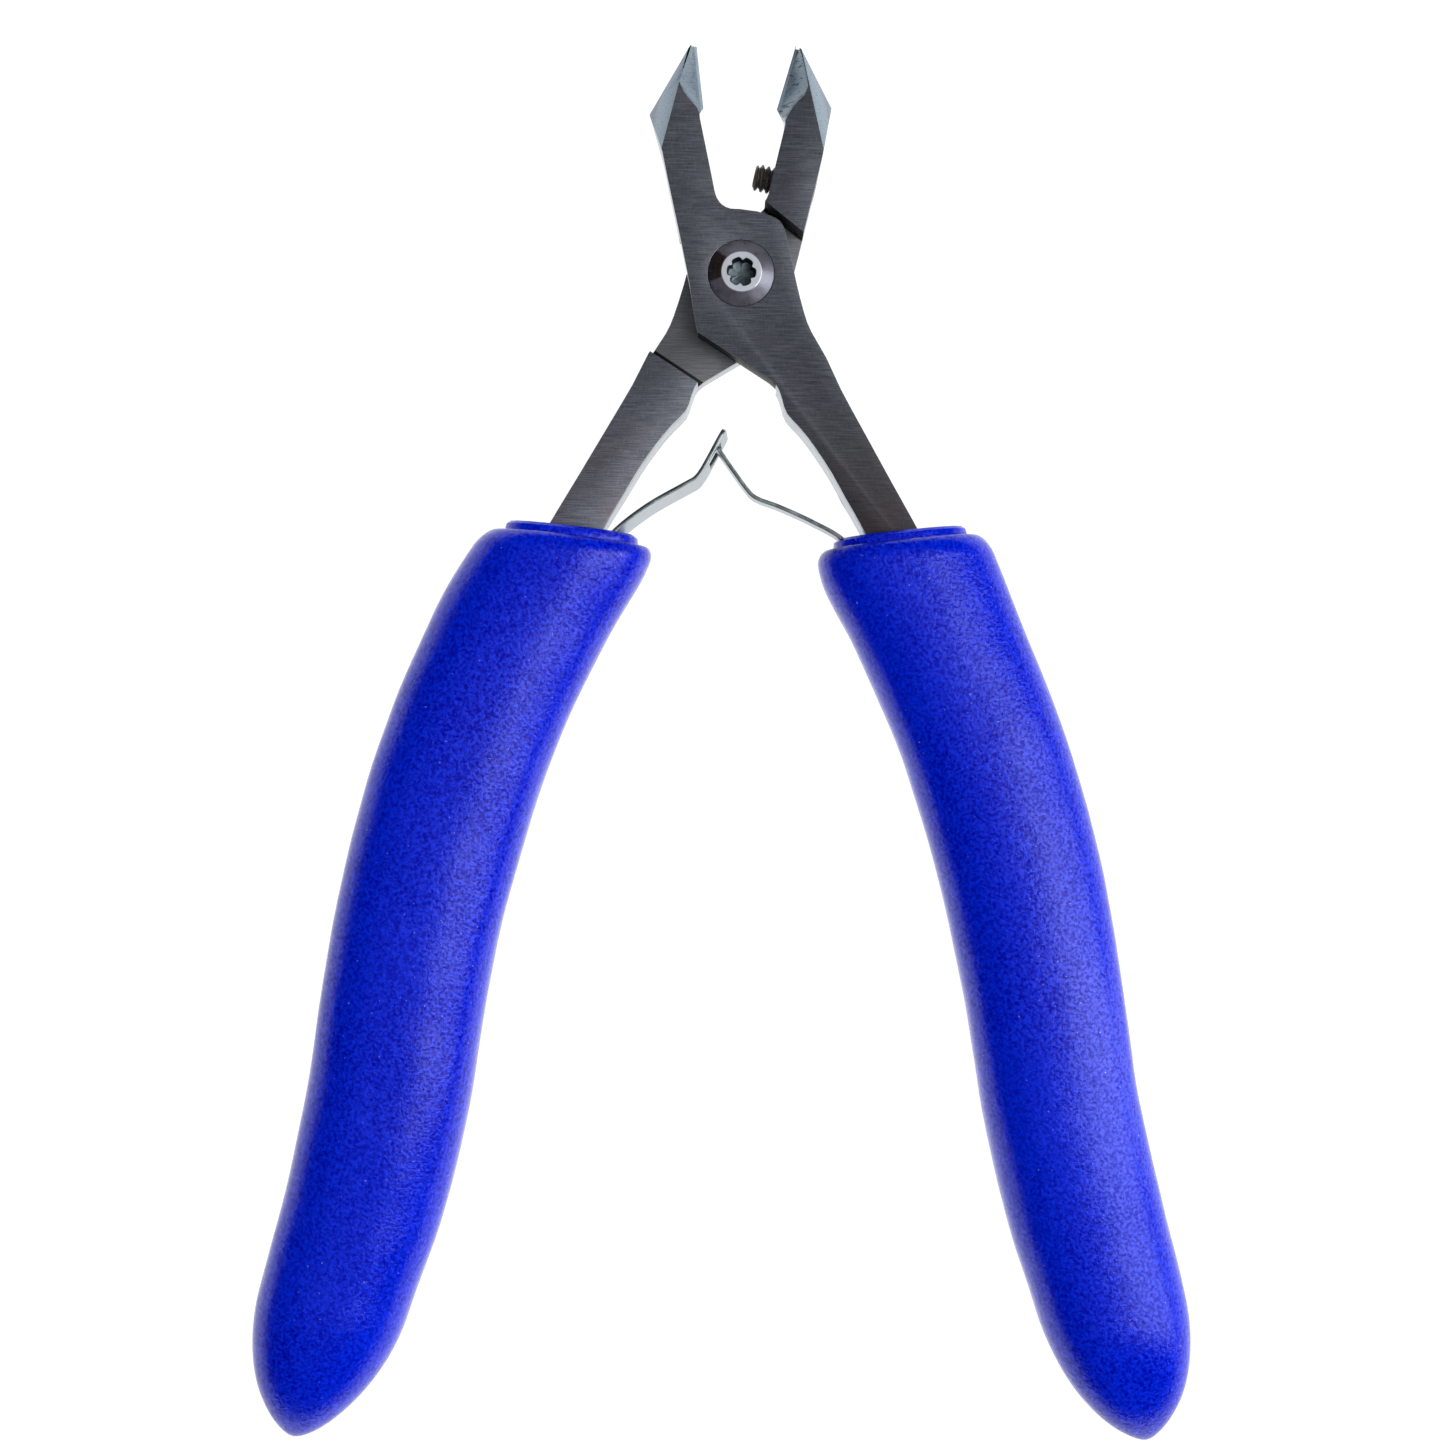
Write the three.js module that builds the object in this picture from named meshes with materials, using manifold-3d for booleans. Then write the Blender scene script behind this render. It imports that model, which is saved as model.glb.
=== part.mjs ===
// Flush cutter: two lapped steel halves on a pivot screw, two leaf springs that open them, cushioned grips.
// Millimetres. Z is the pivot axis, Y points to the tips, the tool lies flat and stands open.
import * as THREE from "three";
import { mergeVertices } from "three/addons/utils/BufferGeometryUtils.js";
import Module from "manifold-3d";

const wasm = await Module();
wasm.setup();

// ---------- driving dimensions ----------
const THICK = 6.6; // thickness of jaws, joint and tangs
const MID = THICK / 2;
const LAP_GAP = 0.2; // running gap between the two lapped bosses
const OPEN = 12.25; // degrees each half stands open from closed
const CLEAR = 0.3; // gap round a piece that sits in another

// Jaw heads, each as if its jaw were on the left, closed; the two are ground by hand and differ a little
const FRONT_HEAD = {
  corner: [-6.05, 19.17], // where the outer side turns to the tip
  bevel: [-5.45, 14.7], // where the outer bevel starts on the front face
  ridge: [-0.72, 24.6], // where it ends
  tip: [-0.5, 24.7],
  wallEnd: [-1.05, 17.0], // inner wall of the jaw
  heel: [-0.81, 18.3],
  edge: [[-0.33, 18.78], [0.15, 24.72]], // cutting edge
  // upper rim of the hollow-ground facet behind the edge
  hollow: [[-0.95, 17.2], [-1.12, 18.0], [-1.38, 18.4], [-1.76, 19.15], [-2.12, 19.9], [-2.42, 21.2],
    [-1.61, 22.5], [-0.91, 23.7], [-0.3, 24.9]],
};
const REAR_HEAD = {
  corner: [-5.1, 19.95],
  bevel: [-5.2, 14.9],
  ridge: [-0.75, 24.4],
  tip: [-0.6, 24.58],
  wallEnd: [-0.87, 16.2],
  heel: [-0.49, 17.5],
  edge: [[0.5, 18.6], [0.05, 24.66]],
  hollow: [[-0.68, 16.2], [-0.91, 17.3], [-1.22, 18.25], [-1.66, 19.1], [-2.09, 19.8], [-2.25, 20.8],
    [-1.81, 21.9], [-1.09, 23.4], [-0.4, 24.65]],
};
const LAND = [0.42, 0.35]; // width and height of the narrow land along the cutting edge
const HOLLOW_SAG = 0.06; // depth of the hollow, as a share of its width
const TAPER_Y0 = 11; // where the front face starts to slope to the tip
const TAPER = 7.3;
const FLUSH_Y0 = 13.5; // where the flush-ground back starts
const FLUSH = 18.8;

// Outline of the front half, closed, in runs; most runs are splines
const JAW_SIDE = [[-5.57, 14], [-5.56, 8.5], [-5.46, 3.5], [-5.5, -0.7], [-5.65, -3.6], [-5.6, -5.1]];
const BOSS_FOOT = [[-4.7, -6.0], [-2.93, -7.73], [-1.42, -9.19]];
const NECK_INNER = [[0.61, -11.18], [1.36, -12.17], [1.6, -13.4], [1.8, -15.1], [2.86, -16.9], [3.77, -18.66],
  [5.06, -21.77], [6.04, -24.81]];
const TANG_INNER = [[6.04, -24.81], [7.49, -29.2], [10.0, -38.1], [12.3, -47.3], [14.1, -57], [15.1, -67],
  [15.2, -77], [15.0, -90]];
const TANG_END = [[15.5, -92.4], [16.4, -93], [17.2, -92.4]];
const TANG_OUTER = [[17.6, -90], [18.4, -77], [18.9, -67], [18.4, -56.6], [17.1, -46.6], [15.1, -37.2],
  [12.8, -29.6], [11.0, -24]];
const NECK_OUTER = [[11.0, -24], [9.2, -18.3], [7.8, -13.8], [6.95, -10.3], [5.95, -7.35], [5.6, -5.3],
  [5.42, -2.0], [5.36, 1.9]];
const BOSS_TOP = [[5.36, 1.9], [5.28, 3.5], [4.98, 4.53], [4.26, 5.15], [2.94, 5.94]];
const CROTCH = [[2.94, 5.94], [1.16, 6.55], [0.16, 6.81], [-0.58, 7.37], [-0.95, 8.13], [-1.05, 9.0],
  [-1.05, 10.6]];
const REAR_OUT = { jaw: 0.18, jawY: 4, tang: 0.5, tangY: -10 }; // how far the rear half lies further out
const JAW_STEP = [[-0.8, 7.8], [-5.2, 5.7]]; // where the jaw goes from lap to full thickness
const TANG_STEP = [[1.52, -12.14], [6.99, -10.14]];

// Pivot
const POST_R = 2.5;
const POST_TOP = 5.2;
const WELL_R = 1.75; // threaded hole of the post
const WELL_Z = 1.6;
const FLANGE_R = 3.42;
const FLANGE_H = 1.0;
const BORE_R = 2.56;
const SEAT_R = 3.5; // counterbore of the front half
const SEAT_Z = 5.3;
const HEAD_R = 3.35;
const HEAD_Z = 5.7; // underside of the head
const HEAD_RING_R = 2.08;
const HEAD_UP = 0.95; // how far the head stands above the front face
const SHANK_R = 1.6;
const SHANK_Z = 2.0; // lower end of the screw's shank
const RUN_GAP = 0.08; // running gap between faces that turn on each other
const SOCKET_R = 1.45;
const SOCKET_ROOT_R = 1.08;
const SOCKET_DEEP = 1.5;
const SOCKET_TURN = 25; // degrees to the first inward rib of the six-lobe socket
const WASHER_R = 3.25;
const WASHER_HOLE_R = 1.8;
const WASHER_Z = [5.35, 5.62];

// Stop screw in the right jaw
const STOP_Y = 10.79;
const STOP_R = 1.4;
const STOP_PITCH = 0.635;
const STOP_THREAD = 0.34; // depth of the thread
const STOP_END_X = -1.13; // end that meets the other jaw, closed
const STOP_LENGTH = 5.5;
const STOP_HEX = 1.27;

// Leaf springs, as they stand open: root inside the grip, mouth, knee, tip
const LEAF_T = 0.42;
const LEFT_LEAF = [[-19.1, -37.8], [-16.1, -31.6], [-12.87, -27.39], [-9.35, -24.46], [-5.25, -22.01],
  [-4.25, -21.4], [-3.7, -20.7], [-2.88, -19.21], [-2.1, -17.69], [-1.32, -16.21]];
const RIGHT_LEAF = [[18.6, -37.8], [15.3, -31.6], [11.16, -27.25], [8.11, -25.54], [4.15, -23.83],
  [2.4, -23.24], [1.6, -22.8], [0.99, -22.15], [-0.56, -20.09], [-2.34, -17.59]];
const LEFT_LEAF_W = 6.2;
const RIGHT_LEAF_W = 3.3;
const LEFT_LEAF_LEAN = 0.07; // sideways lean of the slotted leaf per mm of width
const SLOT = { x: -2.5, y: -18.47, long: 2.35, high: 3.9 };

// Leaf rivets
const RIVET_R = 0.8;
const RIVET_HEAD_R = 1.35;
const RIVET_HEAD = { under: 0.5, shoulder: 0.75, top: 0.95, round: 0.75 }; // heights over the leaf's middle
const RIVET_DEEP = 2.0;
const RIVET_FIT = 0.12;
const RIVET_AT = [0.2, 0.8]; // shares of the leaf root, from the mouth down

// Grips, closed: stations of inner and outer edge from the mouth to the nose, as on the right side
const RIGHT_GRIP = [
  [2.1, -29.6, 20.0, -31.2],
  [2.1, -33.0, 20.9, -36.0],
  [4.0, -39.8, 22.0, -42.0],
  [6.9, -53.3, 24.0, -53.0],
  [8.1, -66, 25.05, -66],
  [8.3, -78, 24.9, -78],
  [7.95, -91, 24.25, -91],
  [8.3, -103, 24.45, -103],
  [9.4, -112.5, 24.95, -112.7],
  [10.9, -127.7, 25.3, -127.9],
];
const LEFT_GRIP = [
  [2.2, -29.5, 20.0, -31.6],
  [2.9, -33.3, 21.7, -36.0],
  [5.0, -40.1, 23.3, -41.8],
  [7.7, -53.2, 25.4, -53.4],
  [8.7, -66, 26.2, -66],
  [8.7, -78, 25.95, -78],
  [7.75, -92, 24.75, -92],
  [7.9, -104, 24.4, -104],
  [9.0, -113.5, 24.75, -113.7],
  [10.6, -128.9, 25.0, -129.1],
];
const GRIP_HALF_H = 6.9;
const GRIP_SQUARE = 2.35; // power of the rounded-box section
const GRIP_NOSE = { long: 1 / 9, swell: 2.4, point: 0.72 }; // the last span rounds off to the end
const GRIP_MOUTH = { long: 0.055, in: 1.25 }; // rounding of the cushion at the mouth
const CORE_MOUTH = { long: 0.008, in: 0.5 };
const CORE_INSET = 1.9;
const CORE_RIM = 1.0; // how far the inner sleeve stands out of the mouth
const CORE_END = 0.72;

// ---------- small tools ----------
const rad = THREE.MathUtils.degToRad;
const flip = (points, side) => points.map(([x, y]) => [x * side, y]);

function solid(geometry) {
  const bare = geometry.index ? geometry.toNonIndexed() : geometry.clone();
  bare.deleteAttribute("normal");
  bare.deleteAttribute("uv");
  const merged = mergeVertices(bare, 1e-4);
  const made = new wasm.Manifold(new wasm.Mesh({
    numProp: 3,
    vertProperties: merged.attributes.position.array,
    triVerts: new Uint32Array(merged.index.array),
  }));
  return made;
}

function toGeometry(made) {
  const mesh = made.getMesh();
  const geometry = new THREE.BufferGeometry();
  geometry.setAttribute("position", new THREE.BufferAttribute(mesh.vertProperties.slice(), 3));
  geometry.setIndex(new THREE.BufferAttribute(mesh.triVerts.slice(), 1));
  geometry.computeVertexNormals();
  return geometry;
}

const flat = (points) => points.map(([x, y]) => new THREE.Vector2(x, y));
const smooth = (points, count) => new THREE.SplineCurve(flat(points)).getPoints(count).map((p) => [p.x, p.y]);

// Upright prism over a closed outline.
function prism(points, z0, z1) {
  const shape = new THREE.Shape(flat(points));
  const geometry = new THREE.ExtrudeGeometry(shape, { depth: z1 - z0, bevelEnabled: false });
  return solid(geometry.translate(0, 0, z0));
}

// Big block standing on the plane through p with this outward normal: what it covers is ground away.
function groundOff(p, normal) {
  const n = normal.clone().normalize();
  const block = new THREE.BoxGeometry(60, 60, 20).translate(0, 0, 10);
  block.applyQuaternion(new THREE.Quaternion().setFromUnitVectors(new THREE.Vector3(0, 0, 1), n));
  return solid(block.translate(p.x, p.y, p.z));
}

function rod(radius, z0, z1, segments = 40) {
  return solid(new THREE.CylinderGeometry(radius, radius, z1 - z0, segments).rotateX(Math.PI / 2)
    .translate(0, 0, (z0 + z1) / 2));
}

// Closed body through rings of as many points each, the first point of a ring seeing all the others.
function loft(rings) {
  const n = rings[0].length;
  const last = (rings.length - 1) * n;
  const index = [];
  for (let start = 0; start < last; start += n) {
    for (let i = 0; i < n; i += 1) {
      const a = start + i;
      const b = start + ((i + 1) % n);
      index.push(a, b, b + n, a, b + n, a + n);
    }
  }
  for (let i = 1; i + 1 < n; i += 1) index.push(0, i + 1, i, last, last + i, last + i + 1);
  const geometry = new THREE.BufferGeometry();
  geometry.setAttribute("position", new THREE.Float32BufferAttribute(rings.flat(2), 3));
  geometry.setIndex(index);
  const made = solid(geometry);
  return made.volume() > 0 ? made : solid(insideOut(geometry));
}

function insideOut(geometry) {
  const order = geometry.index.array;
  for (let i = 0; i < order.length; i += 3) [order[i], order[i + 1]] = [order[i + 1], order[i]];
  return geometry;
}

// Strip that follows a path at a constant or varying half width.
function strip(path, halfWidth) {
  const left = [];
  const right = [];
  path.forEach(([x, y], i) => {
    const [ax, ay] = path[Math.max(i - 1, 0)];
    const [bx, by] = path[Math.min(i + 1, path.length - 1)];
    const length = Math.hypot(bx - ax, by - ay);
    const nx = -(by - ay) / length;
    const ny = (bx - ax) / length;
    left.push([x + nx * halfWidth, y + ny * halfWidth]);
    right.unshift([x - nx * halfWidth, y - ny * halfWidth]);
  });
  return [...left, ...right];
}

// Outline pushed out by d along its own normals (anticlockwise outlines).
function grown(points, d) {
  const turn = THREE.ShapeUtils.isClockWise(flat(points)) ? -1 : 1;
  return points.map(([x, y], i) => {
    const [ax, ay] = points[(i + points.length - 1) % points.length];
    const [bx, by] = points[(i + 1) % points.length];
    const length = Math.hypot(bx - ax, by - ay);
    return [x + (turn * d * (by - ay)) / length, y - (turn * d * (bx - ax)) / length];
  });
}

// ---------- steel halves (built closed, then turned open) ----------
const frontZ = (y) => THICK - Math.tan(rad(TAPER)) * Math.max(y - TAPER_Y0, 0);
const flushZ = (y) => Math.tan(rad(FLUSH)) * Math.max(y - FLUSH_Y0, 0);

// The run as it is on the front half, or moved out as on the rear half.
function run(points, side) {
  const { jaw, jawY, tang, tangY } = REAR_OUT;
  const out = (y) => jaw + (tang - jaw) * THREE.MathUtils.clamp((jawY - y) / (jawY - tangY), 0, 1);
  return side > 0 ? points : points.map(([x, y]) => [x + out(y), y]);
}

const tangOutline = (side) => run([...smooth(TANG_INNER, 18), ...TANG_END, ...smooth(TANG_OUTER, 18)], side);

function halfOutline(side) {
  const head = side > 0 ? FRONT_HEAD : REAR_HEAD;
  const lower = [
    ...smooth(JAW_SIDE, 8),
    ...BOSS_FOOT,
    ...smooth(NECK_INNER, 16).slice(0, -1),
    ...smooth(TANG_INNER, 18),
    ...TANG_END,
    ...smooth(TANG_OUTER, 18),
    ...smooth(NECK_OUTER, 14).slice(1),
    ...smooth(BOSS_TOP, 8).slice(1),
    ...smooth(CROTCH, 12).slice(1),
  ];
  return [head.tip, head.corner, ...run(lower, side), head.wallEnd, head.heel, ...head.edge];
}

// What the grinding wheel takes from behind the cutting edge, between the edge's land and the front face.
function hollow(side) {
  const head = side > 0 ? FRONT_HEAD : REAR_HEAD;
  const [[x0, y0], [x1, y1]] = head.edge;
  const steps = 6;
  const rings = head.hollow.map(([rimX, y]) => {
    const edgeX = x0 + ((x1 - x0) * (y - y0)) / (y1 - y0);
    const low = flushZ(y) + 0.03;
    const a = [edgeX - LAND[0], low + LAND[1]];
    const b = [rimX, frontZ(y)];
    const section = [[edgeX + 3, b[1] + 1.5], [edgeX + 3, low], [edgeX, low], a];
    for (let i = 1; i < steps; i += 1) {
      const t = i / steps;
      const sag = HOLLOW_SAG * 4 * t * (1 - t);
      section.push([
        a[0] + (b[0] - a[0]) * t - (b[1] - a[1]) * sag,
        a[1] + (b[1] - a[1]) * t + (b[0] - a[0]) * sag,
      ]);
    }
    section.push(b, [b[0], b[1] + 1.5]);
    return section.map(([x, z]) => [x * side, y, z]);
  });
  return loft(rings);
}

// side 1: jaw on the left (front half); side -1: its mirror image (rear half)
function steelHalf(side) {
  let body = prism(flip(halfOutline(side), side), 0, THICK);
  const vec = (x, y, z) => new THREE.Vector3(x * side, y, z);
  const outward = (p, a, b, away) => {
    const n = new THREE.Vector3().crossVectors(a.clone().sub(p), b.clone().sub(p));
    return n.dot(away) < 0 ? n.negate() : n;
  };

  // lap recess: the front half keeps the upper lap, the rear half the lower one
  const [j0, j1] = JAW_STEP;
  const [t0, t1] = TANG_STEP;
  const along = ([ax, ay], [bx, by], x) => [x, ay + ((x - ax) * (by - ay)) / (bx - ax)];
  const recess = [along(j0, j1, -14), along(j0, j1, 14), along(t0, t1, 14), along(t0, t1, -14)];
  const lap = side > 0 ? [-1, MID + LAP_GAP / 2] : [MID - LAP_GAP / 2, THICK + 1];
  body = body.subtract(prism(flip(recess, side), lap[0], lap[1]));

  // front taper and flush-ground back of the jaw
  const taper = rad(TAPER);
  body = body.subtract(groundOff(vec(0, TAPER_Y0, THICK), vec(0, Math.sin(taper), Math.cos(taper))));
  const flush = rad(FLUSH);
  body = body.subtract(groundOff(vec(0, FLUSH_Y0, 0), vec(0, Math.sin(flush), -Math.cos(flush))));

  // outer bevel
  const { corner, bevel, ridge } = side > 0 ? FRONT_HEAD : REAR_HEAD;
  const start = vec(...bevel, frontZ(bevel[1]));
  const low = vec(...corner, flushZ(corner[1]));
  const end = vec(...ridge, frontZ(ridge[1]));
  body = body.subtract(groundOff(start, outward(start, low, end, vec(-1, 0.5, 0.5))));
  body = body.subtract(hollow(side));

  // pivot bore and its seat
  body = body.subtract(rod(BORE_R, -1, THICK + 1));
  if (side > 0) body = body.subtract(rod(SEAT_R, SEAT_Z, THICK + 1));
  else body = body.subtract(rod(FLANGE_R + RUN_GAP, -1, FLANGE_H + RUN_GAP));
  return body;
}

// Turns a closed-frame solid to the open position of its half.
const opened = (made, side) => made.rotate([0, 0, side * OPEN]);
const turned = ([x, y], degrees) => {
  const a = rad(degrees);
  return [x * Math.cos(a) - y * Math.sin(a), x * Math.sin(a) + y * Math.cos(a)];
};

// ---------- leaf springs and their rivets ----------
function leafPath(points) {
  const through = points.map(([x, y]) => new THREE.Vector3(x, y, 0));
  return new THREE.CatmullRomCurve3(through, false, "centripetal").getPoints(40).map((p) => [p.x, p.y]);
}

function leaf(points, width, lean, grow = 0) {
  const outline = strip(leafPath(points), LEAF_T / 2 + grow);
  const shape = new THREE.Shape(flat(outline));
  const geometry = new THREE.ExtrudeGeometry(shape, { depth: width + 2 * grow, bevelEnabled: false })
    .translate(0, 0, -width / 2 - grow);
  const shear = new THREE.Matrix4().set(1, 0, -lean * 0.55, 0, 0, 1, lean * 0.83, 0, 0, 0, 1, MID, 0, 0, 0, 1);
  return solid(geometry.applyMatrix4(shear));
}

// Rivet through the leaf root into the tang, and the room it needs in the sleeve.
function rivet(points, share, side, radius, headRadius, grow) {
  const [e, m] = points;
  const x = m[0] + (e[0] - m[0]) * share;
  const y = m[1] + (e[1] - m[1]) * share;
  const along = new THREE.Vector2(e[0] - m[0], e[1] - m[1]).normalize();
  const into = new THREE.Vector2(along.y, -along.x).multiplyScalar(along.y * side > 0 ? 1 : -1);
  if (into.x * side < 0) into.negate();
  const { under, shoulder, top, round } = RIVET_HEAD;
  const profile = [
    [0, -top - grow],
    [headRadius * round + grow, -top - grow],
    [headRadius + grow, -shoulder - grow],
    [headRadius + grow, -under],
    [radius + grow, -under],
    [radius + grow, RIVET_DEEP + grow],
    [0, RIVET_DEEP + grow],
  ].map(([r, h]) => new THREE.Vector2(r, h));
  const geometry = new THREE.LatheGeometry(profile, 16);
  const axis = new THREE.Vector3(into.x, into.y, 0);
  const turn = new THREE.Quaternion().setFromUnitVectors(new THREE.Vector3(0, 1, 0), axis);
  return solid(geometry.applyQuaternion(turn).translate(x, y, MID));
}

// ---------- grips ----------
function gripCurves(stations) {
  const line = (ix, iy) => new THREE.CatmullRomCurve3(
    stations.map((s) => new THREE.Vector3(s[ix], s[iy], 0)), false, "centripetal");
  return { inner: line(0, 1), outer: line(2, 3) };
}
const GRIP_LINES = { right: gripCurves(RIGHT_GRIP), left: gripCurves(LEFT_GRIP) };
const RIM = CORE_RIM / 98; // the same as a share of the length of a grip

// Shares of the length where the rings of the three grip-shaped bodies lie
const spans = (from, to) => Array.from({ length: to - from + 1 }, (_, i) => (from + i) / 18);
const CUSHION_RINGS = [0, 0.006, 0.02, 0.055, ...spans(2, 16), 0.92, 0.945, 0.965, 0.98, 0.991, 0.998, 1];
const CORE_RINGS = [-RIM, 0.003 - RIM, 0, ...spans(1, 12), CORE_END];
const ROOM_RINGS = [-4 * RIM, 0, ...spans(1, 12), CORE_END + 0.004];

// Grip-shaped body through rings at these shares of the length, drawn in by inset, with a rounded mouth.
function gripBody(side, shares, inset, mouth, around) {
  const lines = side > 0 ? GRIP_LINES.right : GRIP_LINES.left;
  const rings = shares.length - 1;
  const geometry = new THREE.CylinderGeometry(1, 1, 1, around, rings);
  const p = geometry.attributes.position;
  for (let i = 0; i < p.count; i += 1) {
    const v = shares[Math.round((0.5 - p.getY(i)) * rings)];
    const t = THREE.MathUtils.clamp(v, 0, 1);
    const a = lines.inner.getPoint(t);
    const b = lines.outer.getPoint(t);
    const centre = a.clone().add(b).multiplyScalar(0.5);
    const half = b.clone().sub(a).multiplyScalar(0.5);
    const across = half.clone().normalize();
    const downward = new THREE.Vector3(across.y, -across.x, 0);
    centre.addScaledVector(downward, ((v - t) * CORE_RIM) / RIM);
    const along = Math.max((v - 1) / GRIP_NOSE.long + 1, 0);
    const fit = Math.max(1 - along ** GRIP_NOSE.swell, 0) ** GRIP_NOSE.point;
    const d = mouth ? Math.max(1 - (v - shares[0]) / mouth.long, 0) : 0;
    const drawn = inset + (mouth ? mouth.in * (1 - Math.sqrt(1 - d * d)) : 0);
    const w = Math.max(half.length() * fit - drawn, 0.02);
    const h = Math.max(GRIP_HALF_H * fit - drawn, 0.02);
    const angle = Math.atan2(p.getZ(i), p.getX(i));
    const reach = Math.hypot(p.getX(i), p.getZ(i));
    const round = (c) => Math.sign(c) * Math.abs(c) ** (2 / GRIP_SQUARE) * reach;
    const sx = round(Math.cos(angle)) * w;
    const sz = round(Math.sin(angle)) * h;
    p.setXYZ(i, side * (centre.x + across.x * sx), centre.y + across.y * sx, MID + sz);
  }
  return solid(side > 0 ? geometry : insideOut(geometry));
}

function gripPieces(side) {
  const leafPoints = side > 0 ? RIGHT_LEAF : LEFT_LEAF;
  const leafWidth = side > 0 ? RIGHT_LEAF_W : LEFT_LEAF_W;
  const lean = side > 0 ? 0 : LEFT_LEAF_LEAN;
  let core = opened(gripBody(side, CORE_RINGS, CORE_INSET, CORE_MOUTH, 20), side);
  const tang = opened(prism(flip(grown(tangOutline(side), CLEAR), side), -CLEAR, THICK + CLEAR), side);
  core = core.subtract(tang).subtract(leaf(leafPoints, leafWidth, lean, CLEAR));
  RIVET_AT.forEach((share) => {
    core = core.subtract(rivet(leafPoints, share, side, RIVET_R, RIVET_HEAD_R, CLEAR));
  });
  const room = opened(gripBody(side, ROOM_RINGS, CORE_INSET - CLEAR, null, 20), side);
  const cushion = opened(gripBody(side, CUSHION_RINGS, 0, GRIP_MOUTH, 24), side).subtract(room);
  return { core, cushion };
}

// ---------- pivot ----------
function screwHead() {
  const top = THICK + HEAD_UP;
  const profile = [
    [0, SHANK_Z], [SHANK_R - 0.3, SHANK_Z], [SHANK_R, SHANK_Z + 0.3], [SHANK_R, HEAD_Z], [HEAD_R, HEAD_Z],
    [HEAD_R, THICK + RUN_GAP], [HEAD_RING_R + 0.08, top - 0.06], [HEAD_RING_R - 0.02, top], [0, top],
  ].map(([r, z]) => new THREE.Vector2(r, z));
  const body = solid(new THREE.LatheGeometry(profile, 40).rotateX(Math.PI / 2));
  const lobes = [];
  for (let i = 0; i < 48; i += 1) {
    const a = (i / 48) * 2 * Math.PI;
    const rib = Math.abs(Math.cos(3 * (a - rad(SOCKET_TURN)))) ** 4;
    const r = SOCKET_R - (SOCKET_R - SOCKET_ROOT_R) * rib;
    lobes.push([r * Math.cos(a), r * Math.sin(a)]);
  }
  return body.subtract(prism(lobes, top - SOCKET_DEEP, top + 1));
}

function pivotPost() {
  const profile = [
    [0, 0], [FLANGE_R - 0.1, 0], [FLANGE_R, 0.1], [FLANGE_R, FLANGE_H], [POST_R, FLANGE_H], [POST_R, POST_TOP],
    [WELL_R, POST_TOP], [WELL_R, WELL_Z], [0, WELL_Z],
  ].map(([r, z]) => new THREE.Vector2(r, z));
  return solid(new THREE.LatheGeometry(profile, 40).rotateX(Math.PI / 2));
}

function pivotWasher() {
  const [z0, z1] = WASHER_Z;
  return rod(WASHER_R, z0, z1).subtract(rod(WASHER_HOLE_R, 0, THICK));
}

// ---------- stop screw ----------
function stopScrew() {
  const root = STOP_R - STOP_THREAD;
  const x1 = STOP_END_X + STOP_LENGTH;
  const profile = [[0, STOP_END_X], [root - 0.1, STOP_END_X], [root, STOP_END_X + 0.1]];
  const turns = Math.floor((STOP_LENGTH - 0.3) / STOP_PITCH);
  for (let i = 0; i < turns; i += 1) {
    const at = STOP_END_X + 0.14 + i * STOP_PITCH;
    profile.push([STOP_R, at + STOP_PITCH * 0.4], [STOP_R, at + STOP_PITCH * 0.55], [root, at + STOP_PITCH]);
  }
  profile.push([root, x1], [0, x1]);
  const geometry = new THREE.LatheGeometry(profile.map(([r, h]) => new THREE.Vector2(r, h)), 18);
  const body = solid(geometry.rotateZ(-Math.PI / 2).translate(0, STOP_Y, MID));
  const hexR = STOP_HEX / Math.sqrt(3);
  const key = new THREE.CylinderGeometry(hexR, hexR, 3, 6).rotateZ(Math.PI / 2);
  return body.subtract(solid(key.translate(x1 + 0.3, STOP_Y, MID)));
}

// ---------- assembly ----------
const paint = {
  steel: new THREE.MeshStandardMaterial({ color: 0x44474d, metalness: 0.8, roughness: 0.5 }),
  spring: new THREE.MeshStandardMaterial({ color: 0xa9b4ba, metalness: 0.9, roughness: 0.35 }),
  screw: new THREE.MeshStandardMaterial({ color: 0x77707f, metalness: 0.9, roughness: 0.4 }),
  grip: new THREE.MeshStandardMaterial({ color: 0x0a18c8, metalness: 0.0, roughness: 0.55 }),
  core: new THREE.MeshStandardMaterial({ color: 0x0a16b8, metalness: 0.0, roughness: 0.6 }),
};

const cutter = new THREE.Group();
cutter.name = "flush_cutter";
function add(name, made, material) {
  const mesh = new THREE.Mesh(toGeometry(made), material);
  mesh.name = name;
  cutter.add(mesh);
}

let frontHalf = opened(steelHalf(1), 1);
let rearHalf = steelHalf(-1);
const stopHole = solid(new THREE.CylinderGeometry(STOP_R + 0.1, STOP_R + 0.1, 8, 40).rotateZ(Math.PI / 2)
  .translate(4.5, STOP_Y, MID));
rearHalf = opened(rearHalf.subtract(stopHole), -1);

RIVET_AT.forEach((share, i) => {
  const place = ["upper", "lower"][i];
  rearHalf = rearHalf.subtract(rivet(LEFT_LEAF, share, -1, RIVET_R, RIVET_R, RIVET_FIT));
  frontHalf = frontHalf.subtract(rivet(RIGHT_LEAF, share, 1, RIVET_R, RIVET_R, RIVET_FIT));
  add(`left_spring_rivet_${place}`, rivet(LEFT_LEAF, share, -1, RIVET_R, RIVET_HEAD_R, 0), paint.spring);
  add(`right_spring_rivet_${place}`, rivet(RIGHT_LEAF, share, 1, RIVET_R, RIVET_HEAD_R, 0), paint.spring);
});

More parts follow.
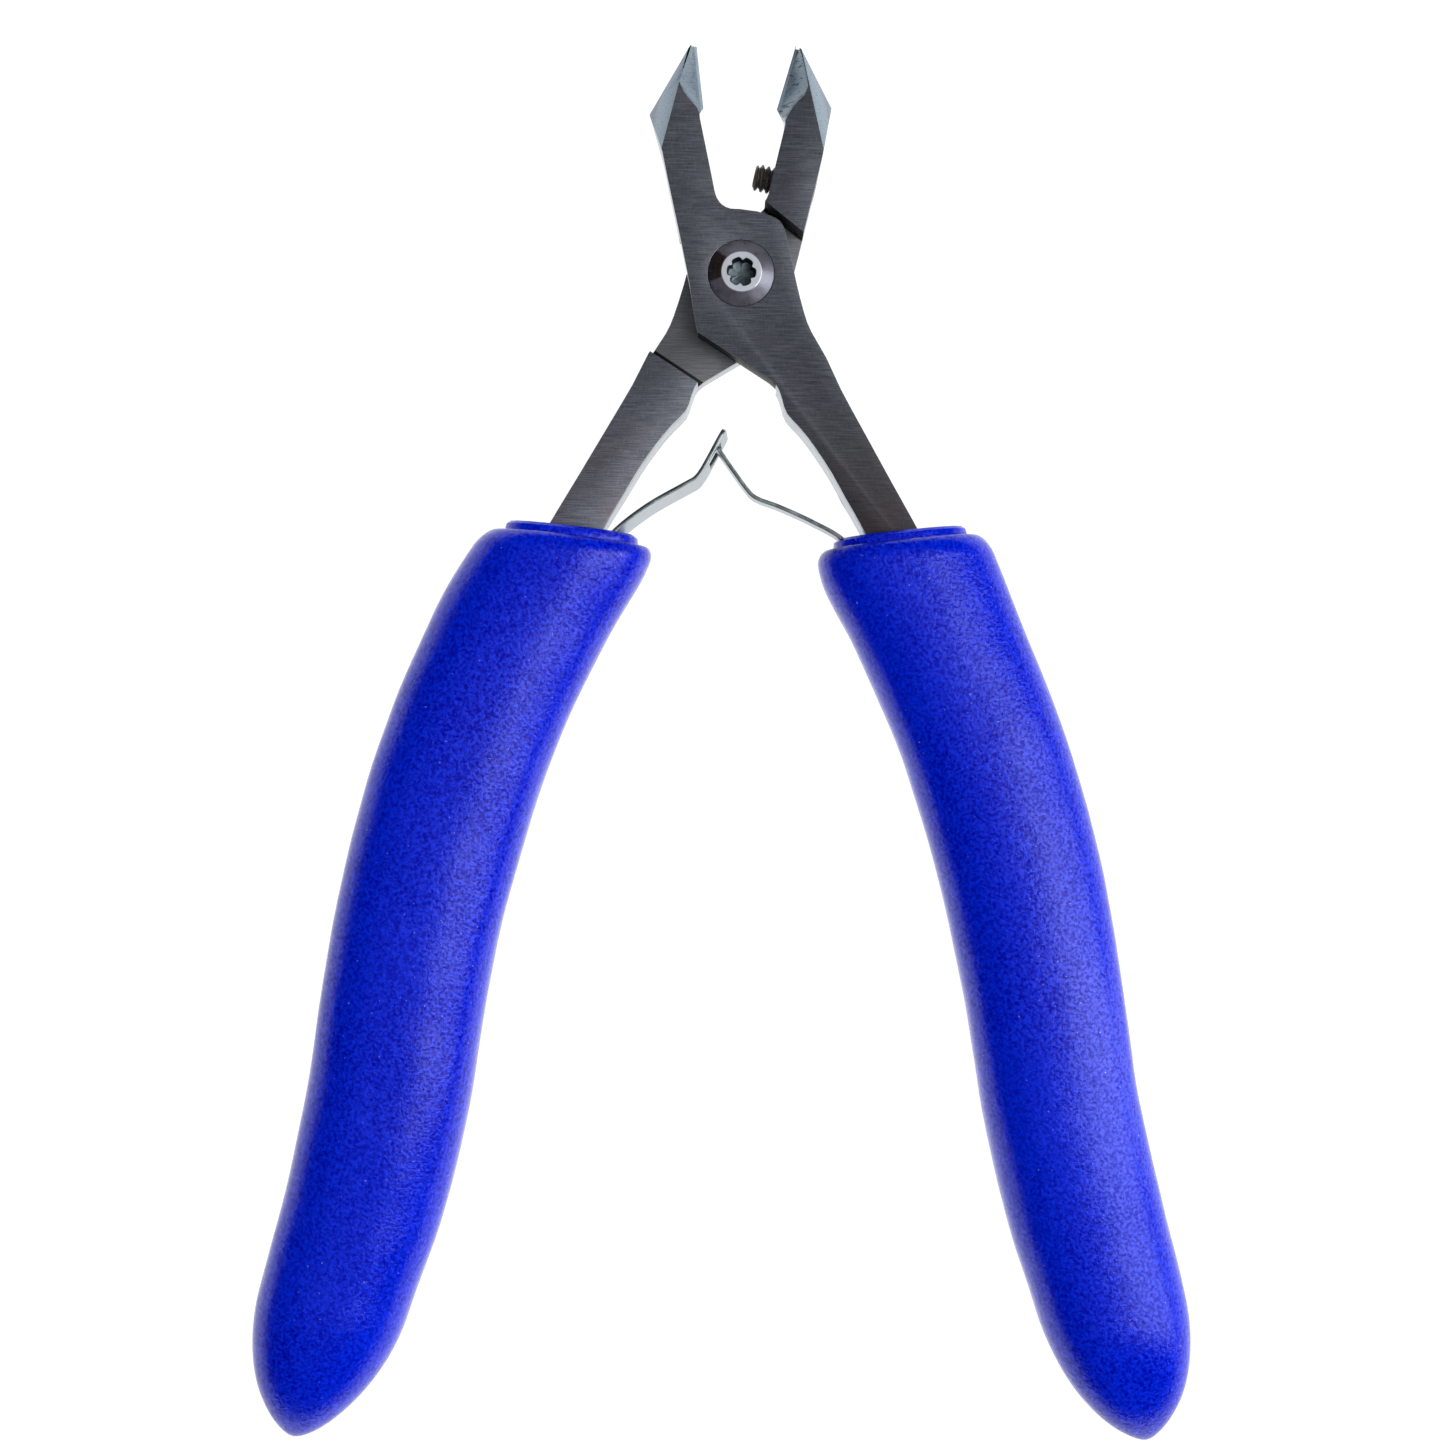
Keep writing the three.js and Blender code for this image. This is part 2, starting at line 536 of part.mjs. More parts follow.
let leftLeaf = leaf(LEFT_LEAF, LEFT_LEAF_W, LEFT_LEAF_LEAN);
const [slotFrom, slotTo] = LEFT_LEAF.slice(-3, -1);
const slotTurn = Math.atan2(slotTo[1] - slotFrom[1], slotTo[0] - slotFrom[0]);
leftLeaf = leftLeaf.subtract(solid(new THREE.BoxGeometry(SLOT.long, 3, SLOT.high).rotateZ(slotTurn)
  .translate(SLOT.x, SLOT.y, MID)));
let rightLeaf = leaf(RIGHT_LEAF, RIGHT_LEAF_W, 0);
RIVET_AT.forEach((share) => {
  leftLeaf = leftLeaf.subtract(rivet(LEFT_LEAF, share, -1, RIVET_R, RIVET_R, RIVET_FIT));
  rightLeaf = rightLeaf.subtract(rivet(RIGHT_LEAF, share, 1, RIVET_R, RIVET_R, RIVET_FIT));
});

add("front_half", frontHalf, paint.steel);
add("rear_half", rearHalf, paint.steel);
add("pivot_screw", screwHead(), paint.screw);
add("pivot_post", pivotPost(), paint.steel);
add("pivot_washer", pivotWasher(), paint.spring);
add("stop_screw", opened(stopScrew(), -1), paint.steel);
add("left_spring", leftLeaf, paint.spring);
add("right_spring", rightLeaf, paint.spring);
const leftGrip = gripPieces(-1);
const rightGrip = gripPieces(1);
add("left_grip_core", leftGrip.core, paint.core);
add("left_grip_cushion", leftGrip.cushion, paint.grip);
add("right_grip_core", rightGrip.core, paint.core);
add("right_grip_cushion", rightGrip.cushion, paint.grip);

export default cutter;
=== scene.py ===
"""Looks of the flush cutter: ground and black-oxide steel, leaf springs, cushion grips. Metres, row frame."""

import math

import bmesh
import bpy
from mathutils import Matrix, Vector, noise


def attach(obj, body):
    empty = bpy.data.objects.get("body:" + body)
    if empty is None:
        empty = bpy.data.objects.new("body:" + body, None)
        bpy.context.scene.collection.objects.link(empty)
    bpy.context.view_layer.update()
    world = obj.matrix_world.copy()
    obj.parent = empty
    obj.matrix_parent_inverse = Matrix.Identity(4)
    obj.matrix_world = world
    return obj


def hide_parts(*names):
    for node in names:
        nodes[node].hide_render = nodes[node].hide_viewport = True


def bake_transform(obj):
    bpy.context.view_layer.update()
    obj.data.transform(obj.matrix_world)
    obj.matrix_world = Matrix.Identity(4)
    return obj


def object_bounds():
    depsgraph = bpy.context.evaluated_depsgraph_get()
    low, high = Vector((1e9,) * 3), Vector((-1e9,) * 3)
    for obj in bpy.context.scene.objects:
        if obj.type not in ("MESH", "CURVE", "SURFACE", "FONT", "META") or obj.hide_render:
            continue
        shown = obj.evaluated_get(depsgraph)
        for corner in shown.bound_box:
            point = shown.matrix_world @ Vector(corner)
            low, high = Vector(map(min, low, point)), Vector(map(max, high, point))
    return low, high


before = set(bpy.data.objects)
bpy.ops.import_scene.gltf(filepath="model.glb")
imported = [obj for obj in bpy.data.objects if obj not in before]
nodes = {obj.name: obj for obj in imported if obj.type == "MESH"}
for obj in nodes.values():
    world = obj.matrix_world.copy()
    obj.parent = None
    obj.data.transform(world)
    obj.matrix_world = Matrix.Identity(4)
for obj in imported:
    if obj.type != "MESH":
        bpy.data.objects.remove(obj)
first_low, first_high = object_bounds()

MM = 0.001
MID = 3.3  # middle of the tool's thickness, mm
OPEN = 12.25  # degrees each half stands open
FLUSH_Y0, FLUSH = 13.5, 18.8  # where the flush-ground back starts, and its slope in degrees
# places in the material list of a steel half
ON_BLACK, ON_OUTER, ON_HOLLOW, ON_SIDE, ON_EDGE, ON_STEP, ON_LAP, ON_LAND = range(8)

# ------------------------------------------------------------------ materials


class Net:
    """Small helper that builds a shader from short calls."""

    def __init__(self, name):
        self.material = bpy.data.materials.new(name)
        self.material.use_nodes = True
        self.tree = self.material.node_tree
        self.tree.nodes.clear()
        self.output = self.add("ShaderNodeOutputMaterial")
        self.shader = self.add("ShaderNodeBsdfPrincipled")
        self.link(self.shader.outputs[0], self.output.inputs[0])
        self.coords = self.add("ShaderNodeTexCoord").outputs["Object"]

    def add(self, kind, **settings):
        node = self.tree.nodes.new(kind)
        for key, value in settings.items():
            setattr(node, key, value)
        return node

    def link(self, a, b):
        self.tree.links.new(a, b)

    def put(self, socket, value):
        if hasattr(value, "node"):
            self.link(value, socket)
        else:
            socket.default_value = value

    def stretched(self, scale, turn=(0, 0, 0)):
        node = self.add("ShaderNodeMapping")
        self.link(self.coords, node.inputs["Vector"])
        node.inputs["Scale"].default_value = scale
        node.inputs["Rotation"].default_value = [math.radians(a) for a in turn]
        return node.outputs[0]

    def noise(self, vector, scale=1.0, detail=3.0, rough=0.55, distortion=0.0):
        node = self.add("ShaderNodeTexNoise")
        self.link(vector, node.inputs["Vector"])
        node.inputs["Scale"].default_value = scale
        node.inputs["Detail"].default_value = detail
        node.inputs["Roughness"].default_value = rough
        node.inputs["Distortion"].default_value = distortion
        return node.outputs["Fac"]

    def ramp(self, fac, stops):
        node = self.add("ShaderNodeValToRGB")
        self.link(fac, node.inputs[0])
        elements = node.color_ramp.elements
        while len(elements) < len(stops):
            elements.new(0.5)
        for element, (at, colour) in zip(elements, stops):
            element.position = at
            element.color = colour if len(colour) == 4 else (*colour, 1)
        return node.outputs[0]

    def level(self, fac, low, high, out_low=0.0, out_high=1.0):
        node = self.add("ShaderNodeMapRange")
        self.link(fac, node.inputs["Value"])
        for key, value in zip(
            ("From Min", "From Max", "To Min", "To Max"), (low, high, out_low, out_high)
        ):
            node.inputs[key].default_value = value
        return node.outputs[0]

    def math(self, operation, a, b=0.5):
        node = self.add("ShaderNodeMath", operation=operation)
        self.put(node.inputs[0], a)
        self.put(node.inputs[1], b)
        return node.outputs[0]

    def mix(self, fac, a, b, blend="MIX"):
        node = self.add("ShaderNodeMix", data_type="RGBA", blend_type=blend)
        self.put(node.inputs["Factor"], fac)
        self.put(node.inputs[6], a if hasattr(a, "node") else (*a, 1))
        self.put(node.inputs[7], b if hasattr(b, "node") else (*b, 1))
        return node.outputs[2]

    def xyz(self):
        node = self.add("ShaderNodeSeparateXYZ")
        self.link(self.coords, node.inputs[0])
        return node.outputs

    def past_line(self, point, normal):
        """Distance in mm past a line of the plan, along its normal."""
        node = self.add("ShaderNodeVectorMath", operation="DOT_PRODUCT")
        self.link(self.coords, node.inputs[0])
        node.inputs[1].default_value = (normal[0] / MM, normal[1] / MM, 0)
        return self.math("SUBTRACT", node.outputs["Value"], point[0] * normal[0] + point[1] * normal[1])

    def bump(self, height, strength, distance, under=None):
        node = self.add("ShaderNodeBump")
        node.inputs["Strength"].default_value = strength
        node.inputs["Distance"].default_value = distance
        self.link(height, node.inputs["Height"])
        if under is not None:
            self.link(under, node.inputs["Normal"])
        return node.outputs[0]

    def grey(self, value):
        node = self.add("ShaderNodeCombineColor")
        for socket in node.inputs[:3]:
            self.link(value, socket)
        return node.outputs[0]

    def done(self, colour=None, rough=None, metallic=0.0, normal=None, **more):
        if colour is not None:
            self.put(self.shader.inputs["Base Color"], colour)
        if rough is not None:
            self.put(self.shader.inputs["Roughness"], rough)
        self.shader.inputs["Metallic"].default_value = metallic
        if normal is not None:
            self.link(normal, self.shader.inputs["Normal"])
        for key, value in more.items():
            self.put(self.shader.inputs[key.replace("_", " ")], value)
        return self.material


def black_steel(name, top, foot):
    """Ground steel under black oxide, with painted light and shade: top and foot scale its colour near the
    jaw and near the grip.
    """
    n = Net(name)
    grain = n.noise(n.stretched((350, 7500, 900), (0, 0, 4)), detail=4)
    weave = n.noise(n.stretched((5200, 1500, 900), (0, 0, -8)), detail=3)
    cross = n.noise(n.stretched((900, 9500, 900), (0, 0, 38)), detail=3)
    speck = n.noise(n.stretched((9000, 9000, 9000)), detail=2)
    cloud = n.noise(n.stretched((160, 160, 160)), detail=3)
    heat = n.noise(n.stretched((95, 95, 95)), detail=2)
    y = n.xyz()["Y"]
    near_grip = n.level(y, -0.014, -0.026)
    tones = [(0.28, (0.060, 0.070, 0.094)), (0.5, (0.118, 0.130, 0.162)), (0.72, (0.19, 0.205, 0.24))]
    base = n.ramp(grain, tones)
    base = n.mix(n.level(weave, 0.5, 0.72, 0.0, 0.55), base, (0.19, 0.20, 0.23))
    base = n.mix(n.level(cross, 0.56, 0.68, 0.0, 0.5), base, (0.045, 0.05, 0.058))
    base = n.mix(n.level(cloud, 0.5, 0.8, 0.0, 0.5), base, (0.080, 0.087, 0.106))
    tempered = n.math("MULTIPLY", near_grip, n.level(heat, 0.35, 0.62, 0.0, 0.55))
    base = n.mix(tempered, base, (0.125, 0.062, 0.060))
    base = n.mix(n.level(speck, 0.68, 0.76, 0.0, 0.45), base, (0.34, 0.36, 0.39))
    # painted light and shade: the colour is scaled from foot at the grip end to top at the jaw end
    shade = n.level(y, -0.026, -0.002, foot, top)
    base = n.mix(1.0, base, n.grey(shade), "MULTIPLY")
    rough = n.level(n.math("ADD", grain, speck), 0.7, 1.3, 0.36, 0.52)
    bumps = n.bump(grain, 0.3, 0.00003, n.bump(speck, 0.15, 0.00002))
    return n.done(base, rough, 0.35, bumps)


def lap_steel():
    """Steel of the lapped face, with painted shade, near black, where it runs up to the steps."""
    n = Net("lapped_steel")
    grain = n.noise(n.stretched((350, 7500, 900), (0, 0, 4)), detail=4)
    weave = n.noise(n.stretched((900, 9500, 900), (0, 0, 38)), detail=3)
    base = n.ramp(grain, [(0.28, (0.13, 0.135, 0.15)), (0.72, (0.24, 0.245, 0.27))])
    base = n.mix(n.level(weave, 0.5, 0.7, 0.0, 0.4), base, (0.09, 0.094, 0.105))
    # painted shade: near-black bands on the recess floor along the jaw step and the tang step
    jaw = n.level(n.past_line((2.437, 7.452), (-0.612, -0.791)), 0.24, 0.34, 1.0, 0.0)
    tang = n.level(n.past_line((-4.061, -11.541), (0.535, 0.845)), 0.68, 0.76, 1.0, 0.0)
    base = n.mix(n.math("MAXIMUM", jaw, tang), base, (0.003, 0.003, 0.004))
    return n.done(base, 0.5, 0.3, n.bump(grain, 0.3, 0.00003))


def side_steel():
    n = Net("ground_side_steel")
    lines = n.noise(n.stretched((700, 700, 9000)), detail=3)
    cloud = n.noise(n.stretched((500, 500, 500)), detail=2)
    base = n.ramp(lines, [(0.3, (0.28, 0.32, 0.35)), (0.7, (0.54, 0.59, 0.63))])
    base = n.mix(n.level(cloud, 0.5, 0.8, 0.0, 0.5), base, (0.15, 0.17, 0.18))
    return n.done(base, n.level(lines, 0.3, 0.7, 0.2, 0.3), 0.85, n.bump(lines, 0.15, 0.00002))


# bright bare steel on softened edges: partly wear, partly painted highlight along the edges
def edge_steel():
    n = Net("edge_wear_and_highlight_steel")
    wear = n.noise(n.stretched((900, 900, 900)), detail=4)
    base = n.ramp(wear, [(0.3, (0.50, 0.56, 0.62)), (0.5, (0.66, 0.74, 0.80))])
    return n.done(base, n.level(wear, 0.3, 0.7, 0.22, 0.34), 0.6, n.bump(wear, 0.1, 0.00002))


# painted shade: near-black steel, darker than the black oxide, for step walls and socket walls that stand in
# shadow
def step_shade_steel():
    n = Net("step_shade_steel")
    speck = n.noise(n.stretched((3500, 3500, 3500)), detail=3)
    base = n.ramp(speck, [(0.3, (0.006, 0.007, 0.009)), (0.75, (0.03, 0.033, 0.038))])
    return n.done(base, n.level(speck, 0.3, 0.7, 0.5, 0.65), 0.2, n.bump(speck, 0.2, 0.00003))


def ground_steel(name, turn, coarse, shade, edge=None):
    """Bare ground steel, with a painted highlight along its cutting edge, given as a point and the way back
    from it.
    """
    n = Net(name)
    lines = n.noise(n.stretched((600, 14000, 3000), turn), detail=4)
    deep = n.noise(n.stretched((700, 3300, 1200), (turn[0], turn[1], turn[2] + 6)), detail=2)
    cloud = n.noise(n.stretched((420, 420, 420)), detail=2)
    light = tuple(c * shade for c in (0.32, 0.41, 0.50))
    dark = tuple(c * shade for c in (0.21, 0.28, 0.345))
    base = n.mix(n.level(lines, 0.3, 0.7), dark, light)
    base = n.mix(n.level(cloud, 0.4, 0.75, 0.0, 0.35), base, tuple(c * 0.8 for c in light))
    base = n.mix(n.level(deep, 0.56, 0.64, 0.0, coarse), base, (0.04, 0.05, 0.06))
    # painted highlight: a light band along the cutting edge
    if edge:
        base = n.mix(n.level(n.past_line(*edge), 0.22, 0.34, 0.75, 0.0), base, (0.40, 0.50, 0.58))
    rough = n.level(lines, 0.3, 0.7, 0.24, 0.4)
    bumps = n.bump(lines, 0.25, 0.00003, n.bump(deep, 0.3 * coarse + 0.05, 0.00006))
    return n.done(base, rough, 0.55, bumps)


def spring_steel():
    n = Net("spring_steel")
    grain = n.noise(n.stretched((900, 900, 9000)), detail=3)
    pits = n.noise(n.stretched((2600, 2600, 2600)), detail=2)
    base = n.ramp(grain, [(0.3, (0.30, 0.34, 0.36)), (0.7, (0.50, 0.55, 0.58))])
    base = n.mix(n.level(pits, 0.64, 0.72, 0.0, 0.55), base, (0.10, 0.12, 0.13))
    return n.done(base, n.level(grain, 0.3, 0.7, 0.26, 0.4), 0.95, n.bump(grain, 0.15, 0.00002))


def violet_screw():
    """Violet-grey screw steel, with painted shade on its left side, a painted lit tone on its right side and
    a painted highlight line along its rim on the right.
    """
    n = Net("violet_screw_steel")
    ring = n.noise(n.stretched((700, 700, 700)), detail=4)
    speck = n.noise(n.stretched((5200, 5200, 5200)), detail=2)
    place = n.xyz()
    x, y = place["X"], place["Y"]
    radius = n.math("SQRT", n.math("ADD", n.math("MULTIPLY", x, x), n.math("MULTIPLY", y, y)))
    right = n.math("ARCTAN2", y, x)
    left = n.math("ARCTAN2", y, n.math("MULTIPLY", x, -1.0))
    base = n.ramp(ring, [(0.3, (0.19, 0.18, 0.23)), (0.5, (0.29, 0.275, 0.345)), (0.75, (0.38, 0.37, 0.45))])
    # painted light: the right side of the cone takes a lit tone
    lit = n.level(n.math("ABSOLUTE", n.math("ADD", right, 0.04)), 0.7, 1.0, 0.7, 0.0)
    base = n.mix(lit, base, (0.215, 0.23, 0.285))
    base = n.mix(n.level(radius, 0.00203, 0.00206, 0.9, 0.0), base, (0.80, 0.84, 0.94))
    # painted shade: the left side of the cone dark
    shaded_left_side = n.level(n.math("ABSOLUTE", n.math("SUBTRACT", left, 0.227)), 0.47, 0.56, 0.93, 0.0)
    shaded_left_side = n.math("MULTIPLY", shaded_left_side, n.level(radius, 0.00208, 0.00216))
    base = n.mix(shaded_left_side, base, (0.045, 0.032, 0.028))
    # painted highlight: a bright line along the rim, on the right arc
    line = n.level(n.math("ABSOLUTE", n.math("SUBTRACT", radius, 0.00207)), 0.00003, 0.00008, 1.0, 0.0)
    arc = n.level(n.math("ABSOLUTE", n.math("SUBTRACT", right, 0.26)), 1.05, 1.25, 1.0, 0.0)
    base = n.mix(n.math("MULTIPLY", line, arc), base, (0.85, 0.87, 0.92))
    base = n.mix(n.level(speck, 0.64, 0.72, 0.0, 0.4), base, (0.45, 0.44, 0.50))
    rough = n.level(ring, 0.3, 0.7, 0.24, 0.42)
    metal = n.level(radius, 0.00203, 0.00206, 0.2, 0.65)
    return n.done(base, rough, 0.0, n.bump(speck, 0.2, 0.00003), Metallic=metal)


def blued_socket():
    n = Net("socket_steel")
    ring = n.noise(n.stretched((1500, 1500, 1500)), detail=4)
    base = n.ramp(ring, [(0.3, (0.08, 0.11, 0.125)), (0.7, (0.26, 0.33, 0.37))])
    return n.done(base, n.level(ring, 0.3, 0.7, 0.35, 0.5), 0.8, n.bump(ring, 0.3, 0.00005))


def black_screw():
    n = Net("black_screw_steel")
    speck = n.noise(n.stretched((4200, 4200, 4200)), detail=3)
    base = n.ramp(speck, [(0.3, (0.05, 0.045, 0.038)), (0.75, (0.22, 0.20, 0.17))])
    return n.done(base, n.level(speck, 0.3, 0.7, 0.32, 0.5), 0.4, n.bump(speck, 0.2, 0.00003))


def cushion_skin(name, lift):
    n = Net(name)
    pebble = n.noise(n.stretched((2900, 2900, 2900)), detail=3, rough=0.6, distortion=0.4)
    fine = n.noise(n.stretched((7000, 7000, 7000)), detail=2)
    folds = n.noise(n.stretched((1300, 1300, 1300)), detail=3, rough=0.6, distortion=0.6)
    broad = n.noise(n.stretched((60, 60, 60)), detail=2)
    # painted glints: sparse pale specks in the blue skin
    bright = n.noise(n.stretched((2600, 2600, 2600)), detail=1)
    base = n.mix(n.level(pebble, 0.38, 0.62), (0.0, 0.0004, 0.46), (0.001, 0.030, 1.0))
    base = n.mix(n.level(broad, 0.35, 0.7, 0.0, 0.3), base, (0.001, 0.030, 0.98))
    base = n.mix(n.level(bright, 0.77, 0.80, 0.0, 0.7), base, (0.30, 0.34, 0.95))
    height = n.math("ADD", n.math("MULTIPLY", pebble, 0.7), n.math("MULTIPLY", folds, 0.3))
    bumps = n.bump(height, 0.55 * lift, 0.00014, n.bump(fine, 0.2 * lift, 0.00004))
    rough = n.level(pebble, 0.3, 0.7, 0.12, 0.2)
    gloss = n.level(pebble, 0.38, 0.62, 0.2, 0.5)
    return n.done(base, rough, 0.0, bumps, Specular_IOR_Level=gloss)


def floor_paper():
    n = Net("pale_paper")
    grain = n.noise(n.stretched((900, 900, 900)), detail=3)
    base = n.mix(grain, (0.20, 0.20, 0.20), (0.22, 0.22, 0.22))
    glow = n.mix(grain, (0.96, 0.965, 0.97), (1.0, 1.0, 1.0))
    return n.done(base, 0.85, 0.0, n.bump(grain, 0.02, 0.00002), Emission_Color=glow, Emission_Strength=1.0)


# two copies of the black oxide with different painted light and shade along each half
FRONT_BLACK_PAINTED_LIGHT = black_steel("black_oxide_front_painted_light", 1.04, 0.42)
REAR_BLACK_PAINTED_LIGHT = black_steel("black_oxide_rear_painted_light", 0.88, 1.6)
SIDE = side_steel()
EDGE = edge_steel()
STEP = step_shade_steel()
LAP = lap_steel()
OUTER_GROUND = ground_steel("ground_steel_smooth", (0, 0, 60), 0.1, 1.0)
LEFT_EDGE_HIGHLIGHT = ((-4.31, 18.28), (-0.991, -0.133))
RIGHT_EDGE_HIGHLIGHT = ((3.46, 18.28), (0.959, -0.284))
HOLLOW_LEFT = ground_steel("ground_steel_left_hollow", (0, 0, 62), 0.3, 0.8, LEFT_EDGE_HIGHLIGHT)
HOLLOW_RIGHT = ground_steel("ground_steel_right_hollow", (0, 0, -62), 0.95, 0.82, RIGHT_EDGE_HIGHLIGHT)
SPRING = spring_steel()
VIOLET = violet_screw()
SOCKET = blued_socket()
SCREW = black_screw()
SKIN = cushion_skin("cushion_skin", 1.0)
SLEEVE = cushion_skin("sleeve_skin", 0.7)

# ------------------------------------------------------------------ mesh tools


def new_object(name, verts, faces, materials):
    mesh = bpy.data.meshes.new(name)
    mesh.from_pydata([tuple(v) for v in verts], [], faces)
    mesh.validate()
    for m in materials:
        mesh.materials.append(m)
    obj = bpy.data.objects.new(name, mesh)
    bpy.context.scene.collection.objects.link(obj)
    mesh.polygons.foreach_set("use_smooth", [True] * len(mesh.polygons))
    return obj


def face_out(obj):
    made = bmesh.new()
    made.from_mesh(obj.data)
    bmesh.ops.recalc_face_normals(made, faces=made.faces[:])
    made.to_mesh(obj.data)
    made.free()


def apply_modifiers(obj):
    depsgraph = bpy.context.evaluated_depsgraph_get()
    bpy.context.view_layer.update()
    mesh = bpy.data.meshes.new_from_object(obj.evaluated_get(depsgraph))
    old = obj.data
    obj.modifiers.clear()
    obj.data = mesh
    bpy.data.meshes.remove(old)


def sharp_by_angle(obj, degrees):
    made = bmesh.new()
    made.from_mesh(obj.data)
    limit = math.radians(degrees)
    for edge in made.edges:
        edge.smooth = len(edge.link_faces) == 2 and edge.calc_face_angle(0) < limit
    for face in made.faces:
        face.smooth = True
    made.to_mesh(obj.data)
    made.free()


def refined_copy(node, name, materials, pick=None, bevel=0.12, angle=24, segments=2, wear_and_highlight_index=-1):
    """The CAD solid with whole flat faces, softened edges and a material picked for each face."""
    mesh = nodes[node].data.copy()
    mesh.name = name
    obj = bpy.data.objects.new(name, mesh)
    bpy.context.scene.collection.objects.link(obj)
    mesh.materials.clear()
    for m in materials:
        mesh.materials.append(m)
    made = bmesh.new()
    made.from_mesh(mesh)
    bmesh.ops.remove_doubles(made, verts=made.verts[:], dist=2e-6)
    bmesh.ops.dissolve_limit(
        made, angle_limit=math.radians(1.2), verts=made.verts[:], edges=made.edges[:]
    )
    for face in made.faces:
        face.material_index = pick(face) if pick else 0
        face.smooth = True
    weight = made.edges.layers.float.new("bevel_weight_edge")
    for edge in made.edges:
        kinds = {face.material_index for face in edge.link_faces}
        ground = ON_LAND in kinds or kinds == {ON_HOLLOW}
        edge[weight] = 0.0 if ground or edge.calc_face_angle(0) < math.radians(angle) else 1.0
    made.to_mesh(mesh)
    made.free()
    if bevel:
        soften = obj.modifiers.new("soft_edges", "BEVEL")
        soften.width = bevel * MM
        soften.segments = segments
        soften.limit_method = "WEIGHT"
        soften.use_clamp_overlap = True
        soften.harden_normals = False
        # bevel faces take the given material; on the steel halves it is the edge steel with wear and painted
        # highlight
        soften.material = wear_and_highlight_index
        apply_modifiers(obj)
    sharp_by_angle(obj, 38)
    return obj


def turn_point(x, y, degrees):
    a = math.radians(degrees)
    return x * math.cos(a) - y * math.sin(a), x * math.sin(a) + y * math.cos(a)


# ------------------------------------------------------------------ steel halves


def pick_half(side):
    """Material by place and lean, seen with the jaws closed and the jaw on the left."""

    def pick(face):
        centre = face.calc_center_median() / MM
        x, y = turn_point(centre.x, centre.y, -side * OPEN)
        nx, ny = turn_point(face.normal.x, face.normal.y, -side * OPEN)
        x, nx, nz = x * side, nx * side, face.normal.z
        back = math.tan(math.radians(FLUSH)) * (y - FLUSH_Y0)
        if y > 17 and nx > 0.3 and x > -3.2:
            if nz < 0.15:
                return ON_OUTER
            return ON_LAND if centre.z - back < 0.4 else ON_HOLLOW
        if y > 13 and nx < -0.35 and (nz > 0.12 or y > 20):
            return ON_OUTER
        if y > 13 and nz < -0.8:
            return ON_OUTER
        if y > 23.5 and abs(nz) < 0.6:
            return ON_OUTER
        # painted shade: the front boss's foot wall takes the near-black step steel, for the shadow along it
        if side > 0 and abs(nz) < 0.3 and ny < -0.5 and -12 < y < -4.5:
            return ON_STEP
        if abs(nz) < 0.3:
            # painted shade: step walls across the jaw and the tang take the near-black step steel
            return ON_STEP if abs(ny) > 0.8 and (4 < y < 9 or -14 < y < -9) else ON_SIDE
        # recess floors take the lapped steel with its painted shade along the steps
        return ON_LAP if nz > 0.9 and centre.z < 5 else ON_BLACK

    return pick


HALVES = ((1, "front_half", FRONT_BLACK_PAINTED_LIGHT, HOLLOW_LEFT), (-1, "rear_half", REAR_BLACK_PAINTED_LIGHT, HOLLOW_RIGHT))
for side, node, black, hollow in HALVES:
    finishes = [black, OUTER_GROUND, hollow, SIDE, EDGE, STEP, LAP, hollow]
    half = refined_copy(node, f"{node}_steel", finishes, pick_half(side), wear_and_highlight_index=ON_EDGE)
    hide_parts(node)
    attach(half, node)

# ------------------------------------------------------------------ pivot


def revolved(name, rings, around, materials, indices):
    """Closed body from rings of (radius or radius function, height); indices gives each band's material."""
    verts, faces, bands = [], [], []
    for radius, height in rings:
        for i in range(around):
            a = 2 * math.pi * i / around
            r = radius(a) if callable(radius) else radius
            verts.append((r * math.cos(a), r * math.sin(a), height))
    for k in range(len(rings) - 1):
        for i in range(around):
            j = (i + 1) % around
            faces.append((k * around + i, k * around + j, (k + 1) * around + j, (k + 1) * around + i))
            bands.append(indices[k])
    faces.append(tuple(reversed(range(around))))
    bands.append(indices[0])
    last = (len(rings) - 1) * around
    faces.append(tuple(range(last, last + around)))
    bands.append(indices[-1])
    obj = new_object(name, [Vector(v) * MM for v in verts], faces, materials)
    obj.data.polygons.foreach_set("material_index", bands)
    face_out(obj)
    return obj


def socket_radius(outer, root, lean):
    """Six-lobe socket: narrow ribs at lean and every 60 degrees, wide lobes between."""

    def radius(a):
        rib = abs(math.cos(3 * (a - math.radians(lean)))) ** 8
        return outer - (outer - root) * rib

    return radius


TOP = 7.55  # top of the screw head
lobe = socket_radius(1.52, 1.2, 25)
lobe_wide = socket_radius(1.57, 1.25, 25)
head = revolved(
    "pivot_screw_head",
    [
        (0.4, 2.0), (1.3, 2.0), (1.6, 2.3), (1.6, 5.68), (3.3, 5.7), (3.43, 5.8), (3.43, 6.58), (3.4, 6.68),
        (3.33, 6.73), (2.75, 7.14), (2.2, 7.5), (2.13, 7.545), (2.02, TOP), (1.72, TOP), (lobe_wide, TOP),
        (lobe, TOP - 0.06), (lambda a: 0.91 * lobe(a), TOP - 0.9), (lambda a: 0.86 * lobe(a), TOP - 1.3),
        (0.5, TOP - 1.45), (0.15, TOP - 1.47),
    ],
    144,
    # the socket's sloping walls take the near-black step steel: painted shade
    [VIOLET, SOCKET, STEP],
    [0] * 15 + [2, 2, 1, 1],
)
sharp_by_angle(head, 40)
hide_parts("pivot_screw")
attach(head, "rear_half")

post = refined_copy("pivot_post", "pivot_post_steel", [REAR_BLACK_PAINTED_LIGHT], bevel=0.08)
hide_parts("pivot_post")
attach(post, "rear_half")

# ------------------------------------------------------------------ stop screw


